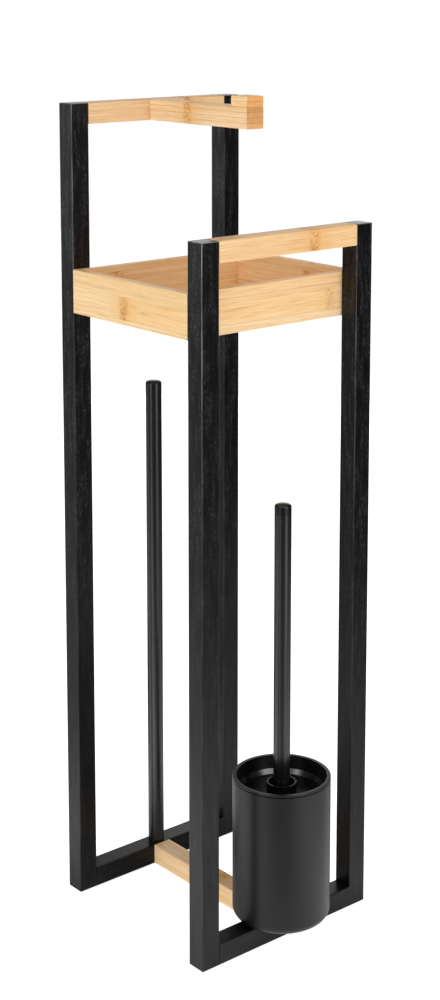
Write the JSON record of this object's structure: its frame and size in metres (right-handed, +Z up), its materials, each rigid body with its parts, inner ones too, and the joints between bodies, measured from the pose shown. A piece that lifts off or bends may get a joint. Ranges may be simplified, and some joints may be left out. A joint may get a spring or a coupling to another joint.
{
  "type": "toilet caddy",
  "caption": "Free-standing toilet caddy: a slim post frame with an open tray, a holder arm for a paper roll, a storage pole for spare rolls and a toilet brush in a cup.",
  "frame": {"origin": "centre of the whole footprint, cup included, on the floor", "axes": "+Z up, +X along the rails to the right seen from the brush side, -Y towards the brush"},
  "size_m": [0.207, 0.2504, 0.8],
  "materials": {
    "stained_wood": "black stained, satin",
    "bamboo": "clear lacquered, satin",
    "dowel_wood": "raw",
    "coated_steel": "fine powder coat, satin",
    "black_plastic": "satin moulded",
    "gloss_plastic": "polished mould",
    "zinc_steel": "zinc plated",
    "pad_rubber": "matt",
    "bristle_plastic": "nylon strands"
  },
  "bodies": {
    "frame": {"rear_left_post": "stained_wood", "rear_right_post": "stained_wood", "front_left_post": "stained_wood", "front_right_post": "stained_wood", "rear_top_rail": "bamboo", "front_top_rail": "bamboo", "rear_bottom_rail": "stained_wood", "front_bottom_rail": "stained_wood", "crossbar": "bamboo", "foot_pads": "pad_rubber", "rail_dowels": "dowel_wood", "crossbar_screws": "zinc_steel", "tray_left_wall": "bamboo", "tray_right_wall": "bamboo", "tray_front_wall": "bamboo", "tray_rear_wall": "bamboo", "tray_base": "bamboo", "tray_dowels": "dowel_wood", "holder_arm": "bamboo", "arm_stop": "bamboo", "arm_screws": "zinc_steel", "storage_pole": "coated_steel", "pole_cap": "black_plastic", "pole_plug": "black_plastic", "pole_screw": "zinc_steel", "cup_shell": "coated_steel", "cup_screws": "zinc_steel", "cup_washers": "zinc_steel"},
    "liner": {"cup_liner": "black_plastic"},
    "brush": {"splash_lid": "gloss_plastic", "handle_tube": "coated_steel", "handle_cap": "gloss_plastic", "brush_core": "black_plastic", "bristles": "bristle_plastic"}
  },
  "joints": [
    {"name": "liner_lift", "type": "slide", "parent": "frame", "child": "liner", "axis": [0, 0, 1], "range_m": [0, 0.119]},
    {"name": "brush_lift", "type": "slide", "parent": "liner", "child": "brush", "axis": [0, 0, 1], "range_m": [0, 0.112]}
  ]
}
